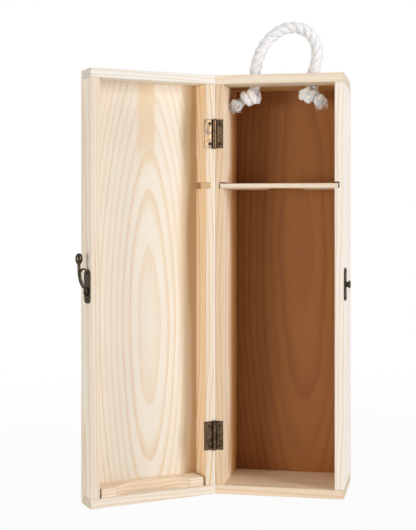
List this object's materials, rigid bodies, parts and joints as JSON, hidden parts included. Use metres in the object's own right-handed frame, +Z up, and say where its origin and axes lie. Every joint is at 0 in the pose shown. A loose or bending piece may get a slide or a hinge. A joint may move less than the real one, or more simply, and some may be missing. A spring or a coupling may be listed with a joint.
{
  "type": "wooden wine box",
  "caption": "Upright pine box for a bottle, with a hinged tray lid, hook latch, sliding neck divider, cradle board and knotted rope handle.",
  "frame": {"origin": "middle of the underside of the box itself, without the lid", "axes": "+Z up along the box, the box opens towards -Y, the hinges are on the -X side"},
  "size_m": [0.214, 0.1335, 0.3979],
  "materials": {
    "pine_box": "bare sanded pine, warm tan in the shade",
    "pine_lid": "bare sanded pine, pale cream with orange growth lines",
    "pine_thin": "thin bare board, sawn edge",
    "antique_brass": "antique bronze plating, dull with worn highlights",
    "steel_brads": "small flush brads",
    "cotton_rope": "white twisted cotton"
  },
  "bodies": {
    "box": {"box_back_panel": "pine_box", "box_left_side": "pine_box", "box_right_side": "pine_box", "box_top": "pine_box", "box_bottom": "pine_box", "box_brads": "steel_brads", "hinge_upper_box_leaf": "antique_brass", "hinge_lower_box_leaf": "antique_brass", "hinge_upper_pin": "antique_brass", "hinge_lower_pin": "antique_brass", "hinge_box_nails": "antique_brass", "catch_plate": "antique_brass", "catch_stud": "antique_brass", "catch_nails": "antique_brass", "rope_handle": "cotton_rope", "rope_knot_left": "cotton_rope", "rope_knot_right": "cotton_rope"},
    "lid": {"lid_panel": "pine_lid", "lid_hinge_rail": "pine_lid", "lid_latch_rail": "pine_lid", "lid_top_rail": "pine_lid", "lid_bottom_rail": "pine_lid", "lid_cradle": "pine_lid", "lid_brads": "steel_brads", "hinge_upper_lid_leaf": "antique_brass", "hinge_lower_lid_leaf": "antique_brass", "hinge_lid_nails": "antique_brass", "latch_plate": "antique_brass", "latch_nails": "antique_brass", "latch_rivet": "antique_brass"},
    "latch_hook": {"latch_hook": "antique_brass"},
    "neck_divider": {"neck_divider": "pine_thin"}
  },
  "joints": [
    {"name": "lid_hinge", "type": "hinge", "parent": "box", "child": "lid", "pos_m": [-0.0538, -0.0332, 0.175], "axis": [0, 0, 1], "range_deg": [-12, 142.5]},
    {"name": "latch_swing", "type": "hinge", "parent": "lid", "child": "latch_hook", "pos_m": [-0.14328, -0.09367, 0.172], "axis": [-0.7934, -0.6088, 0], "range_deg": [-72.9, 20]},
    {"name": "divider_slide", "type": "slide", "parent": "box", "child": "neck_divider", "axis": [0, -1, 0], "range_m": [0, 0.018]}
  ]
}
